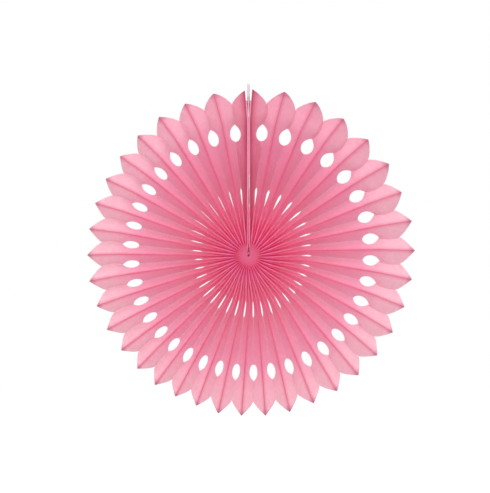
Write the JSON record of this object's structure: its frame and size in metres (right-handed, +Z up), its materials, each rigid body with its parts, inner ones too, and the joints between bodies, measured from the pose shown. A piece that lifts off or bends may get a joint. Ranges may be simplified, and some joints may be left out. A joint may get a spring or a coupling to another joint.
{
  "type": "die-cut paper fan",
  "caption": "Pleated tissue rosette opened to a full circle, with a petal rim, a ring of eye-shaped holes and a ring of slits, closed at a card-stiffened seam.",
  "frame": {"origin": "the small eye in the middle of the packed hub, halfway through the fan's depth", "axes": "+X to the right seen from the front, +Y from the front to the back, +Z up towards the seam and the hanging point"},
  "size_m": [0.4, 0.0259, 0.4062],
  "materials": {
    "pink_tissue": "matt, thin enough to let light through",
    "pink_card": "matt",
    "adhesive_tape": "matt",
    "cotton_thread": "twisted cotton"
  },
  "bodies": {
    "root": {"pleated_tissue": "pink_tissue", "right_end_card": "pink_card", "left_end_card": "pink_card", "adhesive_strip": "adhesive_tape", "binding_thread": "cotton_thread"}
  },
  "joints": []
}
